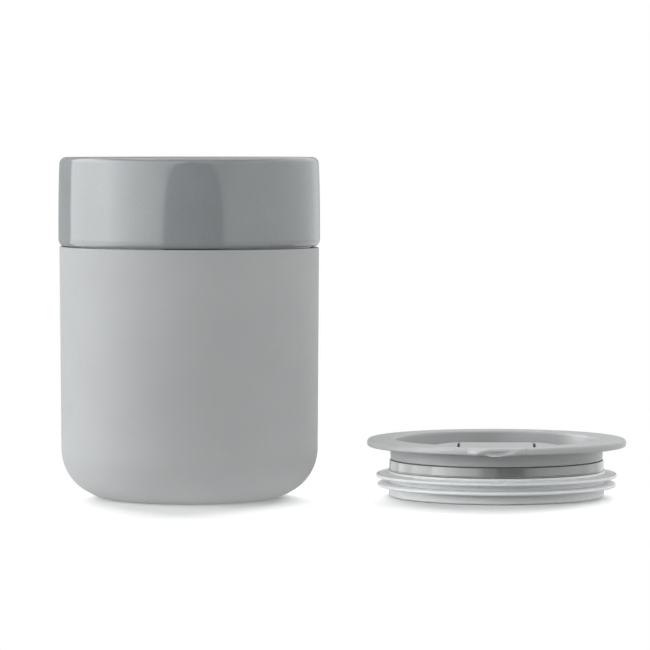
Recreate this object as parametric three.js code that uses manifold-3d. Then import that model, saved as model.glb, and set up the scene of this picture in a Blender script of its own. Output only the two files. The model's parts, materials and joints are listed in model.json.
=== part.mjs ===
// A glazed ceramic travel cup in a silicone sleeve, with its press-in drinking lid lying beside it.
// Millimetres, +Z up. The origin is the centre of the cup's underside, on the table. -Y is the front.
import * as THREE from "three";
import { mergeVertices } from "three/addons/utils/BufferGeometryUtils.js";
import Module from "manifold-3d";

// Ceramic cup
const CUP_HEIGHT = 112.0; // table to rim
const BAND_HEIGHT = 29.1; // bare glazed band, from the seam to the rim
const BAND_RADIUS = 43.0; // widest part of the band
const BAND_DRAW_IN = 0.38; // how much narrower the band is where its rim starts to round over
const BAND_FOOT_ROUND = 3.0; // rounding of the band's lower edge
const BAND_FOOT_STEP = 1.0; // how far that rounding draws in before it ends at the seam
const RIM_ROUND = 1.6; // outer rounding of the rim
const RIM_INNER_ROUND = 1.4; // inner rounding of the rim
const RIM_WALL = 5.0; // wall at the mouth, which sets the bore that the lid presses into
const MOUTH_DEPTH = 22.0; // straight part of the bore
const MOUTH_RUN_IN = 12.0; // height over which the bore narrows below it
const BODY_WALL = 3.6; // wall inside the sleeve
const CUP_FLOOR = 5.0; // thickness of the floor
const FLOOR_ROUND = 12.0; // rounding between the inside wall and the floor

// Silicone sleeve
const SEAM = 0.6; // open seam between the band and the sleeve's top edge
const SLEEVE_STEP = 0.32; // how far the sleeve's top edge lies inside the band's widest radius
const SLEEVE_TAPER = 0.45; // how much narrower the sleeve is where its base rounding starts
const SLEEVE_WALL = 2.0; // thickness of the wall and of the base
const SLEEVE_EDGE = 0.25; // bevel on the top edge
const BASE_ROUND = 16.3; // rounding between the wall and the base

// Where the lid lies
const LID_APART = 15.3; // free table between the band and the flange, along X
const LID_BACK = 8.8; // lid's centre behind the cup's centre

// Lid, from the table up
const PLUG_CLEARANCE = 2.35; // cup's bore to the gasket's body
const LIP_HEIGHT = 1.35; // foot lip below the gasket
const GASKET_HEIGHT = 6.7;
const COLLAR_HEIGHT = 3.25; // glossy collar above the gasket
const COLLAR_FLARE = 0.1; // how much wider the collar is at its foot
const COLLAR_BEVEL = 0.3; // bevel on the collar's lower edge
const PARTING = 0.3; // parting line between the collar and the neck
const NECK_HEIGHT = 4.35; // matte neck under the flange
const NECK_STEP = 0.4; // how far the neck lies inside the collar's top edge
const NECK_WAIST = 0.2; // how much narrower the neck is halfway up
const FLANGE_THICKNESS = 2.45;
const FLANGE_INSET = 0.2; // flange edge inside the band's widest radius
const FLANGE_ROUND = 1.1; // rounding of the flange's edge

// Lid, inside
const GROOVE_DEPTH = 1.6; // groove that holds the gasket
const PLUG_WALL = 2.2; // plug's wall behind the groove
const COLLAR_WALL = 1.4; // collar's wall round the cover's spigot
const SPIGOT_LENGTH = 2.4; // part of the cover that sits inside the collar
const DISH_WALL = 1.5; // neck's wall round the dish
const DISH_FLOOR = 1.8; // thickness of the dish's floor
const DISH_DRAFT = 1.0; // how much narrower the dish is at its floor
const DISH_ROUND = 1.0; // rounding of the dish's upper edge
const DISH_CORNER = 1.5; // rounding between the dish's wall and its floor

// Gasket fins
const UPPER_FIN_REACH = 3.95; // how far the upper fin stands out of the gasket's body
const LOWER_FIN_REACH = 3.55;
const LOWER_FIN_LEVEL = 2.35; // middle of the lower fin above the gasket's underside
const FIN_PITCH = 3.3; // lower fin to upper fin
const FIN_TIP = 0.8; // thickness at the tip
const FIN_ROOT = 1.1; // thickness at the body

// Sip platform in the front of the dish
const CHEEK_WIDTH = 8.5; // from a slit to where the platform meets the dish's wall
const CHEEK_FLAT = 0.2; // straight part of the platform's back edge beside a slit
const CHEEK_DEPTH = 5.7; // solid height of the cheeks, which hold the trunnions
const HINGE_BACKING = 2.8; // platform behind the hinge axis
const PLATFORM_THICKNESS = 2.2; // plate under the flap
const PLATFORM_WALL = 1.6; // walls round the hollow below the plate
const POCKET_FLOOR = 0.8; // flange left under the flap

// Sip flap
const FLAP_WIDTH = 24.1;
const SLIT = 0.6; // gap between the flap's sides and the cheeks
const FLAP_PROUD = 0.1; // flap's top above the flange's top
const FLAP_REACH = 23.3; // hinge axis to the flange's edge
const FLAP_SETBACK = 2.5; // flap's shoulders behind the flange's edge
const BARREL_RADIUS = 2.0; // round back edge of the flap, about the hinge axis
const BARREL_DIP = 0.1; // top of that round edge below the flap's top
const TRUNNION_RADIUS = 0.8;
const TRUNNION_LENGTH = 2.0;
const TRUNNION_CLEARANCE = 0.15;

// Thumb lip on the flap's front edge
const TONGUE_WIDTH = 16.8; // part of the flap that runs over the flange's edge
const LIP_WIDTH = 18.8;
const LIP_THICKNESS = 1.4; // at its middle
const LIP_END_THICKNESS = 0.4; // at its two ends
const LIP_DROOP = 0.55; // how far its middle hangs below the flange
const LIP_WAVE = 1.4; // half waves of the lip's lower edge from its middle to an end
const LIP_ROUND = 0.5; // rounding of the lip's outer edges

// Drinking hole and its seal
const HOLE_LENGTH = 16.0;
const HOLE_WIDTH = 6.4;
const HOLE_SETBACK = 7.9; // hinge axis to the hole's middle
const SEAL_CLEARANCE = 0.8; // seal's plug to the hole's wall
const SEAL_WALL = 0.9; // silicone round the flap's boss
const SEAL_SKIRT = 0.8; // how far the seal's skirt overlaps the hole's edge
const SKIRT_THICKNESS = 0.5;
const SKIRT_CLEARANCE = 0.4; // skirt to its recess
const BOSS_HEIGHT = 2.2; // boss under the flap, which carries the seal

// Clearance between pieces that touch on the real cup, and the fineness of the round shapes
const FIT = 0.3;
const TURN_SEGMENTS = 48;
const PIN_SEGMENTS = 24;
const OUTLINE_SEGMENTS = 8;
const LIP_SECTIONS = 24;
const BASE_STEPS = 8; // steps in the sleeve's base rounding
const INSIDE_STEPS = 6; // steps in the large roundings inside it
const RIM_STEPS = 4; // steps in the rim's outer rounding and in a fin's tip
const EDGE_STEPS = 3; // steps in a small rounding
const WALL_STEPS = 5; // steps up the band's wall
const MERGE_DISTANCE = 1e-4;
const PAST = 5; // how far a cut runs past the faces that it opens

// Cup and sleeve, worked out from the sizes above
const bandFoot = CUP_HEIGHT - BAND_HEIGHT;
const boreRadius = BAND_RADIUS - RIM_WALL;
const sleeveTop = bandFoot - SEAM;
const sleeveTopRadius = BAND_RADIUS - SLEEVE_STEP;
const sleeveFootRadius = sleeveTopRadius - SLEEVE_TAPER;
const baseFlat = sleeveFootRadius - BASE_ROUND;

// Lid levels, from the table up
const gasketBottom = LIP_HEIGHT + FIT;
const gasketTop = gasketBottom + GASKET_HEIGHT;
const collarFoot = gasketTop + FIT;
const collarTop = collarFoot + COLLAR_HEIGHT;
const neckFoot = collarTop + PARTING;
const flangeUnder = neckFoot + NECK_HEIGHT;
const flangeTop = flangeUnder + FLANGE_THICKNESS;
const spigotFoot = neckFoot - SPIGOT_LENGTH;
const dishFloorTop = spigotFoot + DISH_FLOOR;

// Lid radii
const plugRadius = boreRadius - PLUG_CLEARANCE;
const grooveRadius = plugRadius - GROOVE_DEPTH;
const plugInnerRadius = grooveRadius - PLUG_WALL;
const collarTopRadius = plugRadius - COLLAR_FLARE;
const socketRadius = collarTopRadius - COLLAR_WALL;
const spigotRadius = socketRadius - FIT;
const neckRadius = collarTopRadius - NECK_STEP;
const neckWaistRadius = neckRadius - NECK_WAIST;
const flangeRadius = BAND_RADIUS - FLANGE_INSET;
const dishRadius = neckRadius - DISH_WALL;

// Flap, hinge and platform, in the lid's own frame
const flapTop = flangeTop + FLAP_PROUD;
const pocketFloor = flangeUnder + POCKET_FLOOR;
const flapUnder = pocketFloor + FIT;
const hingeY = FLAP_REACH - flangeRadius;
const hingeZ = flapTop - BARREL_DIP - BARREL_RADIUS;
const flapHalf = FLAP_WIDTH / 2;
const slitFace = flapHalf + SLIT;
const flapEdgeRadius = flangeRadius - FLAP_SETBACK;
const platformBack = hingeY + HINGE_BACKING;
const holeY = hingeY - HOLE_SETBACK;
const lipInnerRadius = flangeRadius + FIT;

const wasm = await Module();
wasm.setup();

const point = (r, z) => new THREE.Vector2(r, z);

// Points along an arc of a profile, both ends included, with angles in degrees from the outward radius
function arc(centreR, centreZ, radius, from, to, steps) {
  const points = [];
  for (let i = 0; i <= steps; i++) {
    const angle = THREE.MathUtils.degToRad(from + ((to - from) * i) / steps);
    points.push(point(centreR + radius * Math.cos(angle), centreZ + radius * Math.sin(angle)));
  }
  return points;
}

// A profile turned about the Z axis
function turned(profile) {
  const geometry = new THREE.LatheGeometry(profile, TURN_SEGMENTS);
  geometry.rotateX(Math.PI / 2);
  return geometry;
}

// An outline in the XY plane, raised from one level to another
function raised(outline, low, high) {
  const geometry = new THREE.ExtrudeGeometry(outline, {
    depth: high - low,
    bevelEnabled: false,
    curveSegments: OUTLINE_SEGMENTS,
  });
  geometry.translate(0, 0, low);
  return geometry;
}

// A block between two corners
function block(x0, y0, z0, x1, y1, z1) {
  const geometry = new THREE.BoxGeometry(x1 - x0, y1 - y0, z1 - z0);
  geometry.translate((x0 + x1) / 2, (y0 + y1) / 2, (z0 + z1) / 2);
  return geometry;
}

// A round bar along X on the hinge axis
function hingeBar(radius, x0, x1) {
  const geometry = new THREE.CylinderGeometry(radius, radius, x1 - x0, PIN_SEGMENTS);
  geometry.rotateZ(Math.PI / 2);
  geometry.translate((x0 + x1) / 2, hingeY, hingeZ);
  return geometry;
}

// A disc about the lid's axis
function disc(radius, low, high) {
  return turned([point(0, low), point(radius, low), point(radius, high), point(0, high)]);
}

// An oblong with round ends, its length along X, round the middle of the drinking hole
function oblong(length, width) {
  const run = (length - width) / 2;
  const radius = width / 2;
  const outline = new THREE.Shape();
  outline.absarc(run, holeY, radius, -Math.PI / 2, Math.PI / 2);
  outline.absarc(-run, holeY, radius, Math.PI / 2, (3 * Math.PI) / 2);
  return outline;
}

// A closed skin over a row of sections that have equal counts of points, with flat ends
function lofted(sections) {
  const count = sections[0].length;
  const last = (sections.length - 1) * count;
  const index = [];
  for (let start = 0; start < last; start += count) {
    for (let i = 0; i < count; i++) {
      const a = start + i;
      const b = start + ((i + 1) % count);
      index.push(a, b, a + count);
      index.push(b, b + count, a + count);
    }
  }
  for (let i = 1; i + 1 < count; i++) {
    index.push(0, i + 1, i);
    index.push(last, last + i, last + i + 1);
  }
  const geometry = new THREE.BufferGeometry();
  geometry.setFromPoints(sections.flat());
  geometry.setIndex(index);
  return geometry;
}

// A closed geometry as a solid that can be joined and cut
function solid(geometry) {
  geometry.deleteAttribute("normal");
  geometry.deleteAttribute("uv");
  const merged = mergeVertices(geometry, MERGE_DISTANCE);
  const vertProperties = merged.attributes.position.array;
  const triVerts = new Uint32Array(merged.index.array);
  return new wasm.Manifold(new wasm.Mesh({ numProp: 3, vertProperties, triVerts }));
}

// A joined or cut solid as a geometry
function geometryOf(made) {
  const mesh = made.getMesh();
  const geometry = new THREE.BufferGeometry();
  geometry.setAttribute("position", new THREE.BufferAttribute(mesh.vertProperties, 3));
  geometry.setIndex(new THREE.BufferAttribute(mesh.triVerts, 1));
  geometry.computeVertexNormals();
  return geometry;
}

function named(name, geometry, material) {
  const mesh = new THREE.Mesh(geometry, material);
  mesh.name = name;
  return mesh;
}

// The outer wall of the bare band, from its foot up to the rim's rounding
function bandWall() {
  const footAngle = THREE.MathUtils.radToDeg(Math.acos(1 - BAND_FOOT_STEP / BAND_FOOT_ROUND));
  const wallStart = bandFoot + BAND_FOOT_ROUND * Math.sin(THREE.MathUtils.degToRad(footAngle));
  const wallEnd = CUP_HEIGHT - RIM_ROUND;
  const points = arc(BAND_RADIUS - BAND_FOOT_ROUND, wallStart, BAND_FOOT_ROUND, -footAngle, 0, EDGE_STEPS);
  for (let i = 1; i < WALL_STEPS; i++) {
    const up = i / WALL_STEPS;
    const drawIn = BAND_DRAW_IN * up ** 3;
    points.push(point(BAND_RADIUS - drawIn, wallStart + (wallEnd - wallStart) * up));
  }
  return points;
}

function ceramicCup() {
  const inSleeve = SLEEVE_WALL + FIT;
  const bodyRound = BASE_ROUND - inSleeve;
  const bodyTopRadius = sleeveTopRadius - inSleeve;
  const bodyFootRadius = sleeveFootRadius - inSleeve;
  const insideFootRadius = bodyFootRadius - BODY_WALL;
  const floorTop = inSleeve + CUP_FLOOR;
  const floorFlat = insideFootRadius - FLOOR_ROUND;
  const rimRadius = BAND_RADIUS - BAND_DRAW_IN - RIM_ROUND;
  const innerRimRadius = boreRadius + RIM_INNER_ROUND;
  const mouthFoot = CUP_HEIGHT - MOUTH_DEPTH;
  const runInFoot = mouthFoot - MOUTH_RUN_IN;
  const runInShare = (runInFoot - BASE_ROUND) / (sleeveTop - BASE_ROUND);
  const runInRadius = insideFootRadius + SLEEVE_TAPER * runInShare;
  return turned([
    point(0, inSleeve),
    ...arc(baseFlat, BASE_ROUND, bodyRound, -90, 0, INSIDE_STEPS),
    point(bodyTopRadius, bandFoot),
    ...bandWall(),
    ...arc(rimRadius, CUP_HEIGHT - RIM_ROUND, RIM_ROUND, 0, 90, RIM_STEPS),
    ...arc(innerRimRadius, CUP_HEIGHT - RIM_INNER_ROUND, RIM_INNER_ROUND, 90, 180, EDGE_STEPS),
    point(boreRadius, mouthFoot),
    point(runInRadius, runInFoot),
    ...arc(floorFlat, floorTop + FLOOR_ROUND, FLOOR_ROUND, 0, -90, INSIDE_STEPS),
    point(0, floorTop),
  ]);
}

function siliconeSleeve() {
  const innerTopRadius = sleeveTopRadius - SLEEVE_WALL;
  return turned([
    point(0, 0),
    ...arc(baseFlat, BASE_ROUND, BASE_ROUND, -90, 0, BASE_STEPS),
    point(sleeveTopRadius, sleeveTop - SLEEVE_EDGE),
    point(sleeveTopRadius - SLEEVE_EDGE, sleeveTop),
    point(innerTopRadius, sleeveTop),
    ...arc(baseFlat, BASE_ROUND, BASE_ROUND - SLEEVE_WALL, 0, -90, INSIDE_STEPS),
    point(0, SLEEVE_WALL),
  ]);
}

// The platform's outline seen from above, drawn in by a wall's thickness where its hollow is wanted
function platformOutline(drawnIn, frontRadius) {
  const back = platformBack - drawnIn;
  const flatEnd = slitFace + CHEEK_FLAT - drawnIn;
  const sideX = slitFace + CHEEK_WIDTH - drawnIn;
  const bendX = (flatEnd + sideX) / 2;
  const sideY = -Math.sqrt(frontRadius ** 2 - sideX ** 2);
  const frontAngle = Math.atan2(sideY, sideX);
  const outline = new THREE.Shape();
  outline.moveTo(flatEnd, back);
  outline.lineTo(-flatEnd, back);
  outline.quadraticCurveTo(-bendX, back, -sideX, sideY);
  outline.absarc(0, 0, frontRadius, Math.PI - frontAngle, 2 * Math.PI + frontAngle);
  outline.quadraticCurveTo(bendX, back, flatEnd, back);
  return outline;
}

// Flange, dish, neck and spigot, before the platform is added
function coverBody() {
  const dishFootRadius = dishRadius - DISH_DRAFT;
  const dishFlat = dishFootRadius - DISH_CORNER;
  const edgeRadius = flangeRadius - FLANGE_ROUND;
  return turned([
    point(0, spigotFoot),
    point(spigotRadius, spigotFoot),
    point(spigotRadius, neckFoot),
    point(neckRadius, neckFoot),
    point(neckWaistRadius, neckFoot + NECK_HEIGHT / 2),
    point(neckRadius, flangeUnder),
    ...arc(edgeRadius, flangeUnder + FLANGE_ROUND, FLANGE_ROUND, -90, 0, EDGE_STEPS),
    ...arc(edgeRadius, flangeTop - FLANGE_ROUND, FLANGE_ROUND, 0, 90, EDGE_STEPS),
    ...arc(dishRadius + DISH_ROUND, flangeTop - DISH_ROUND, DISH_ROUND, 90, 180, EDGE_STEPS),
    ...arc(dishFlat, dishFloorTop + DISH_CORNER, DISH_CORNER, 0, -90, EDGE_STEPS),
    point(0, dishFloorTop),
  ]);
}

function lidCover() {
  const neckWallMiddle = (dishRadius + neckWaistRadius) / 2;
  const inFlange = dishRadius + DISH_ROUND + FIT;
  const spigotWallMiddle = (dishRadius - DISH_DRAFT + spigotRadius) / 2;
  const footLow = spigotFoot + DISH_FLOOR / 2;
  const hollowTop = flangeTop - CHEEK_DEPTH;
  const insideSpigot = spigotRadius - PLATFORM_WALL;
  const plateUnder = pocketFloor - PLATFORM_THICKNESS;
  const barrelRoom = BARREL_RADIUS + FIT;
  const bayFront = hingeY - barrelRoom;
  const bayBack = platformBack + PAST;
  const above = flapTop + PAST;
  const below = spigotFoot - PAST;
  const frontOfHollow = -insideSpigot;
  const hollowHalf = HOLE_LENGTH / 2 + PLATFORM_WALL;
  const hollowBack = bayFront - PLATFORM_WALL;
  const holeReach = SEAL_SKIRT + SKIRT_CLEARANCE;
  const recessFloor = flapUnder - FIT - SKIRT_THICKNESS - FIT;
  const pinHole = slitFace + TRUNNION_LENGTH + FIT;
  const tongueRoom = TONGUE_WIDTH / 2 + FIT;

  const platformTop = raised(platformOutline(0, inFlange), flangeUnder + FIT, flangeTop);
  const platform = raised(platformOutline(0, neckWallMiddle), neckFoot, flangeUnder + 2 * FIT);
  const platformFoot = raised(platformOutline(0, spigotWallMiddle), footLow, neckFoot + FIT);
  const cheekHollow = raised(platformOutline(PLATFORM_WALL, insideSpigot), below, hollowTop);
  const plateHollow = solid(block(-hollowHalf, frontOfHollow, below, hollowHalf, hollowBack, plateUnder));
  const insideWall = solid(disc(insideSpigot, below, plateUnder));
  const bay = block(-slitFace, bayFront, hingeZ - barrelRoom, slitFace, bayBack, above);
  const pocket = solid(block(-slitFace, -flangeRadius, pocketFloor, slitFace, hingeY, above));
  const pocketEnd = solid(disc(flapEdgeRadius + FIT, pocketFloor, above));
  const tonguePocket = block(-tongueRoom, -flangeRadius - PAST, pocketFloor, tongueRoom, holeY, above);
  const recess = raised(oblong(HOLE_LENGTH + 2 * holeReach, HOLE_WIDTH + 2 * holeReach), recessFloor, above);

  const cover = solid(coverBody())
    .add(solid(platformTop))
    .add(solid(platform))
    .add(solid(platformFoot))
    .subtract(solid(cheekHollow))
    .subtract(plateHollow.intersect(insideWall))
    .subtract(solid(bay))
    .subtract(pocket.intersect(pocketEnd))
    .subtract(solid(tonguePocket))
    .subtract(solid(hingeBar(TRUNNION_RADIUS + TRUNNION_CLEARANCE, -pinHole, pinHole)))
    .subtract(solid(recess))
    .subtract(solid(raised(oblong(HOLE_LENGTH, HOLE_WIDTH), below, above)));
  return geometryOf(cover);
}

function lidPlug() {
  const socketFoot = spigotFoot - FIT;
  const profile = [
    point(plugInnerRadius, 0),
    point(plugRadius, 0),
    point(plugRadius, LIP_HEIGHT),
    point(grooveRadius, LIP_HEIGHT),
    point(grooveRadius, collarFoot),
    point(plugRadius - COLLAR_BEVEL, collarFoot),
    point(plugRadius, collarFoot + COLLAR_BEVEL),
    point(collarTopRadius, collarTop),
    point(socketRadius, collarTop),
    point(socketRadius, socketFoot),
    point(plugInnerRadius, socketFoot),
  ];
  return turned([...profile, profile[0]]);
}

// One fin's outline, from its lower root to its upper root
function finProfile(level, reach) {
  const tip = FIN_TIP / 2;
  const tipCentre = plugRadius + reach - tip;
  return [
    point(plugRadius, level - FIN_ROOT / 2),
    ...arc(tipCentre, level, tip, -90, 90, RIM_STEPS),
    point(plugRadius, level + FIN_ROOT / 2),
  ];
}

function lidGasket() {
  const innerRadius = grooveRadius + FIT;
  const lowerFin = gasketBottom + LOWER_FIN_LEVEL;
  const profile = [
    point(innerRadius, gasketBottom),
    point(plugRadius, gasketBottom),
    ...finProfile(lowerFin, LOWER_FIN_REACH),
    ...finProfile(lowerFin + FIN_PITCH, UPPER_FIN_REACH),
    point(plugRadius, gasketTop),
    point(innerRadius, gasketTop),
  ];
  return turned([...profile, profile[0]]);
}

// The thumb lip, which hooks over the flange's edge and hangs in a soft wave
function thumbLip() {
  const sections = [];
  for (let i = 0; i <= LIP_SECTIONS; i++) {
    const side = 1 - (2 * i) / LIP_SECTIONS;
    const angle = (side * LIP_WIDTH) / 2 / lipInnerRadius;
    const wave = Math.cos(LIP_WAVE * Math.PI * side) ** 2 * (1 - side ** 2);
    const thickness = LIP_END_THICKNESS + (LIP_THICKNESS - LIP_END_THICKNESS) * (1 - side ** 4);
    const outer = lipInnerRadius + thickness;
    const rounding = Math.min(LIP_ROUND, thickness / 2);
    const bottom = flangeUnder - LIP_DROOP * wave;
    const profile = [
      point(lipInnerRadius, bottom),
      ...arc(outer - rounding, bottom + rounding, rounding, -90, 0, EDGE_STEPS),
      ...arc(outer - rounding, flapTop - rounding, rounding, 0, 90, EDGE_STEPS),
      point(lipInnerRadius, flapTop),
    ];
    const around = (p) => new THREE.Vector3(p.x * Math.sin(angle), -p.x * Math.cos(angle), p.y);
    sections.push(profile.map(around));
  }
  return lofted(sections);
}

function sipFlap() {
  const tongueHalf = TONGUE_WIDTH / 2;
  const tongueEnd = lipInnerRadius + LIP_END_THICKNESS;
  const reachPast = flangeRadius + PAST;
  const plate = solid(block(-flapHalf, -reachPast, flapUnder, flapHalf, hingeY, flapTop));
  const plateEnd = solid(disc(flapEdgeRadius, flapUnder, flapTop));
  const tongue = solid(block(-tongueHalf, -reachPast, flapUnder, tongueHalf, holeY, flapTop));
  const tongueFront = solid(disc(tongueEnd, flapUnder, flapTop));
  const bossLength = HOLE_LENGTH - 2 * (SEAL_CLEARANCE + SEAL_WALL + FIT);
  const bossWidth = HOLE_WIDTH - 2 * (SEAL_CLEARANCE + SEAL_WALL + FIT);
  const plateMiddle = (flapUnder + flapTop) / 2;
  const pinEnd = slitFace + TRUNNION_LENGTH;
  const flap = plate
    .intersect(plateEnd)
    .add(tongue.intersect(tongueFront))
    .add(solid(thumbLip()))
    .add(solid(hingeBar(BARREL_RADIUS, -flapHalf, flapHalf)))
    .add(solid(hingeBar(TRUNNION_RADIUS, -pinEnd, pinEnd)))
    .add(solid(raised(oblong(bossLength, bossWidth), flapUnder - BOSS_HEIGHT, plateMiddle)));
  return geometryOf(flap).translate(0, -hingeY, -hingeZ);
}

function flapSeal() {
  const sealTop = flapUnder - FIT;
  const pocketEnd = flapUnder - BOSS_HEIGHT - FIT;
  const sealFoot = pocketEnd - SEAL_WALL;
  const plugLength = HOLE_LENGTH - 2 * SEAL_CLEARANCE;
  const plugWidth = HOLE_WIDTH - 2 * SEAL_CLEARANCE;
  const skirt = oblong(HOLE_LENGTH + 2 * SEAL_SKIRT, HOLE_WIDTH + 2 * SEAL_SKIRT);
  const pocket = oblong(plugLength - 2 * SEAL_WALL, plugWidth - 2 * SEAL_WALL);
  const seal = solid(raised(oblong(plugLength, plugWidth), sealFoot, sealTop))
    .add(solid(raised(skirt, sealTop - SKIRT_THICKNESS, sealTop)))
    .subtract(solid(raised(pocket, pocketEnd, sealTop + PAST)));
  return geometryOf(seal).translate(0, -hingeY, -hingeZ);
}

const glaze = new THREE.MeshStandardMaterial({ color: 0x8b9193, roughness: 0.15, metalness: 0 });
const sleeveSilicone = new THREE.MeshStandardMaterial({ color: 0xb0b3b3, roughness: 0.7, metalness: 0 });
const mattePlastic = new THREE.MeshStandardMaterial({ color: 0xaeb1b2, roughness: 0.5, metalness: 0 });
const flapPlastic = new THREE.MeshStandardMaterial({ color: 0xb2b5b6, roughness: 0.45, metalness: 0 });
const glossPlastic = new THREE.MeshStandardMaterial({ color: 0x9a9ea0, roughness: 0.2, metalness: 0 });
const clearSilicone = new THREE.MeshStandardMaterial({ color: 0xd5d8d8, roughness: 0.4, metalness: 0 });
const sealSilicone = new THREE.MeshStandardMaterial({ color: 0xc8cbcb, roughness: 0.5, metalness: 0 });

const cup = new THREE.Group();
cup.add(named("silicone_sleeve", siliconeSleeve(), sleeveSilicone));
cup.add(named("ceramic_cup", ceramicCup(), glaze));

const lid = new THREE.Group();
lid.position.set(BAND_RADIUS + LID_APART + flangeRadius, LID_BACK, 0);
lid.add(named("lid_cover", lidCover(), mattePlastic));
lid.add(named("lid_plug", lidPlug(), glossPlastic));
lid.add(named("lid_gasket", lidGasket(), clearSilicone));

const flap = new THREE.Group();
flap.position.set(0, hingeY, hingeZ);
flap.add(named("sip_flap", sipFlap(), flapPlastic));
flap.add(named("flap_seal", flapSeal(), sealSilicone));
lid.add(flap);

const tumbler = new THREE.Group();
tumbler.add(cup);
tumbler.add(lid);

export default tumbler;
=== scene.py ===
import json
import math

import bmesh
import bpy
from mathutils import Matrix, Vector


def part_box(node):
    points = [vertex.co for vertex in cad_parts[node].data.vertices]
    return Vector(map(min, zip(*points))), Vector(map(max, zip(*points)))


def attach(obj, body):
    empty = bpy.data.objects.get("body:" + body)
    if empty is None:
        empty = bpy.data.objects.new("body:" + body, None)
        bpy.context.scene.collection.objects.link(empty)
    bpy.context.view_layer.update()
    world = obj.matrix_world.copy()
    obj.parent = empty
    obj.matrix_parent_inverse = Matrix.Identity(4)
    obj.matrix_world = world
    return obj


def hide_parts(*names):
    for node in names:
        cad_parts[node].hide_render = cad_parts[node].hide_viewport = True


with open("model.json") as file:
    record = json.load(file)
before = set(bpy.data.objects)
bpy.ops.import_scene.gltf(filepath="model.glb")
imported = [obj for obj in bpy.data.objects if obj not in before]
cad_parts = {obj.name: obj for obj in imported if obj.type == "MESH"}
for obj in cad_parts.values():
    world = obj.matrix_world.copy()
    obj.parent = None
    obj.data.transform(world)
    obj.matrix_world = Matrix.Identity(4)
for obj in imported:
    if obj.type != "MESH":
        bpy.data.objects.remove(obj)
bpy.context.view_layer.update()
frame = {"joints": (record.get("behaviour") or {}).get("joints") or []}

# Lengths of the object are in millimetres and are turned into metres when a mesh is made
MM = 0.001


def box_mm(node):
    """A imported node's lowest and highest corners in millimetres, to a hundredth."""
    return [[round(value / MM, 2) for value in corner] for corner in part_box(node)]


cup_low, cup_high = box_mm("ceramic_cup")
sleeve_high = box_mm("silicone_sleeve")[1]
plug_low, plug_high = box_mm("lid_plug")
cover_low, cover_high = box_mm("lid_cover")
flap_low, flap_high = box_mm("sip_flap")
hinge = next(joint for joint in frame["joints"] if joint["name"] == "flap_hinge")

# Cup and sleeve
CUP_HEIGHT = cup_high[2]
CUP_UNDERSIDE = cup_low[2]
BAND_FOOT = 82.9
BAND_RADIUS = cup_high[0]
BAND_DRAW_IN = 0.38
BAND_FOOT_ROUND = 3.0
BAND_FOOT_STEP = 1.0
RIM_ROUND = 2.2
RIM_INNER_ROUND = 1.4
BORE_RADIUS = 38.0
MOUTH_DEPTH = 22.0
MOUTH_RUN_IN = 12.0
INSIDE_FOOT_RADIUS = 36.33
INSIDE_TAPER = 0.4
FLOOR_TOP = 7.3
FLOOR_ROUND = 12.0
SLEEVE_TOP = 82.5
SLEEVE_TOP_RADIUS = sleeve_high[0]
SLEEVE_FOOT_RADIUS = 42.23
SLEEVE_WALL = 2.0
SLEEVE_OUTER_ROUND = 0.4
SLEEVE_INNER_ROUND = 0.3
# The sleeve's top edge, this deep, falls by this share of x
SLEEVE_EDGE = 1.0
SLEEVE_LEAN = 0.004
BASE_ROUND = 16.3
BASE_FLAT = SLEEVE_FOOT_RADIUS - BASE_ROUND

# Roundings of small edges
SHARP = 0.05
CRISP = 0.1
FINE = 0.15
SLIGHT = 0.2
SOFT = 0.3

# Lid
LID_X = round((plug_low[0] + plug_high[0]) / 2, 2)
LID_Y = round((plug_low[1] + plug_high[1]) / 2, 2)
PLUG_RADIUS = round((plug_high[0] - plug_low[0]) / 2, 2)
PLUG_INNER_RADIUS = 31.85
PLUG_FOOT_ROUND = 0.5
PLUG_TOP_ROUND = 0.4
GROOVE_RADIUS = 34.05
FOOT_LIP_RADIUS = 34.95
FOOT_LIP_TOP = 0.4
GASKET_FIT = 0.05
GASKET_BOTTOM = 0.45
GASKET_TOP = 8.52
SKIRT_BOTTOM = 0.12
SKIRT_ROUND = 0.5
LOWER_FIN = 3.8
UPPER_FIN = 6.9
LOWER_FIN_RADIUS = 39.4
UPPER_FIN_RADIUS = 39.8
FIN_TIP = 1.15
FIN_TIP_ROUND = 0.48 * FIN_TIP
FIN_ROOT = 1.5
COLLAR_FOOT = 8.65
COLLAR_TOP = 12.05
COLLAR_TOP_RADIUS = 35.35
COLLAR_INSET = 0.1
BEAD_PROUD = 0.05
BEAD_HEIGHT = 0.35
BEAD_RUN_OUT = 0.5
SOCKET_RADIUS = 34.15
SOCKET_GAP = 0.3
SPIGOT_RADIUS = 33.85
SPIGOT_FOOT = cover_low[2]
NECK_FOOT = 12.15
NECK_FOOT_RADIUS = 35.0
NECK_WAIST_RADIUS = 35.1
NECK_WAIST_ROUND = 12.0
NECK_TOP_RADIUS = 35.5
NECK_FILLET = 1.0
FLANGE_UNDER = 16.55
FLANGE_TOP = cover_high[2]
FLANGE_RADIUS = round((cover_high[0] - cover_low[0]) / 2, 2)
FLANGE_ROUND = 1.1
FLANGE_UNDER_ROUND = 0.6
DISH_RADIUS = 33.65
DISH_FOOT_RADIUS = 32.65
DISH_FLOOR = 11.6
DISH_ROUND = 1.0
DISH_CORNER = 1.5

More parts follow.
